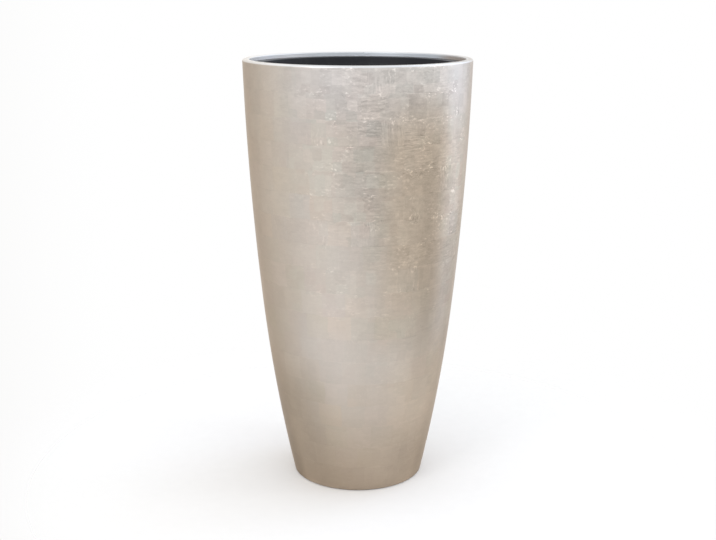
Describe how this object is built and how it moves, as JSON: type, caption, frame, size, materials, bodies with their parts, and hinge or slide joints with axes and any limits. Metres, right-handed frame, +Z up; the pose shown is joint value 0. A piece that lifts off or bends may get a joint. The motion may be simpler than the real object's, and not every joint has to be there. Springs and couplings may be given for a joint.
{
  "type": "tall planter",
  "caption": "Tall round tapered planter in silver leaf, with a lift-out liner that has folding handles and drain plugs.",
  "frame": {"origin": "on the floor, on the planter's axis, under the middle of the base", "axes": "+Z up along the planter's axis; +X through the right handle; -Y towards the viewer in the picture"},
  "size_m": [0.4737, 0.4738, 0.9],
  "materials": {
    "leaf": "silver to champagne metal leaf in squares over fibreglass, under satin lacquer",
    "moulding": "bare fibreglass laminate, matt and slightly uneven",
    "liner_plastic": "moulded anthracite plastic, satin",
    "plug_rubber": "moulded black rubber",
    "pad_rubber": "soft dark grey rubber",
    "wire_steel": "drawn steel wire",
    "bracket_steel": "zinc-plated pressed steel"
  },
  "bodies": {
    "planter": {"shell": "leaf", "rim_ring": "leaf", "liner_ledge": "moulding", "base_plate": "moulding", "floor_pads": "pad_rubber"},
    "base_plug": {"base_plug": "plug_rubber"},
    "liner": {"liner": "liner_plastic", "left_brackets": "bracket_steel", "right_brackets": "bracket_steel", "bracket_rivets": "bracket_steel"},
    "liner_plug": {"liner_plug": "plug_rubber"},
    "left_handle": {"left_handle": "wire_steel"},
    "right_handle": {"right_handle": "wire_steel"}
  },
  "joints": [
    {"name": "liner_lift", "type": "slide", "parent": "planter", "child": "liner", "axis": [0, 0, 1], "range_m": [0, 0.33]},
    {"name": "left_handle_swing", "type": "hinge", "parent": "liner", "child": "left_handle", "pos_m": [-0.17378, 0, 0.854], "axis": [0, -1, 0], "range_deg": [-6, 199]},
    {"name": "right_handle_swing", "type": "hinge", "parent": "liner", "child": "right_handle", "pos_m": [0.17378, 0, 0.854], "axis": [0, 1, 0], "range_deg": [-6, 199]},
    {"name": "liner_plug_pull", "type": "slide", "parent": "liner", "child": "liner_plug", "axis": [0, 0, 1], "range_m": [0, 0.03]},
    {"name": "base_plug_pull", "type": "slide", "parent": "planter", "child": "base_plug", "axis": [0, 0, 1], "range_m": [0, 0.03]}
  ]
}
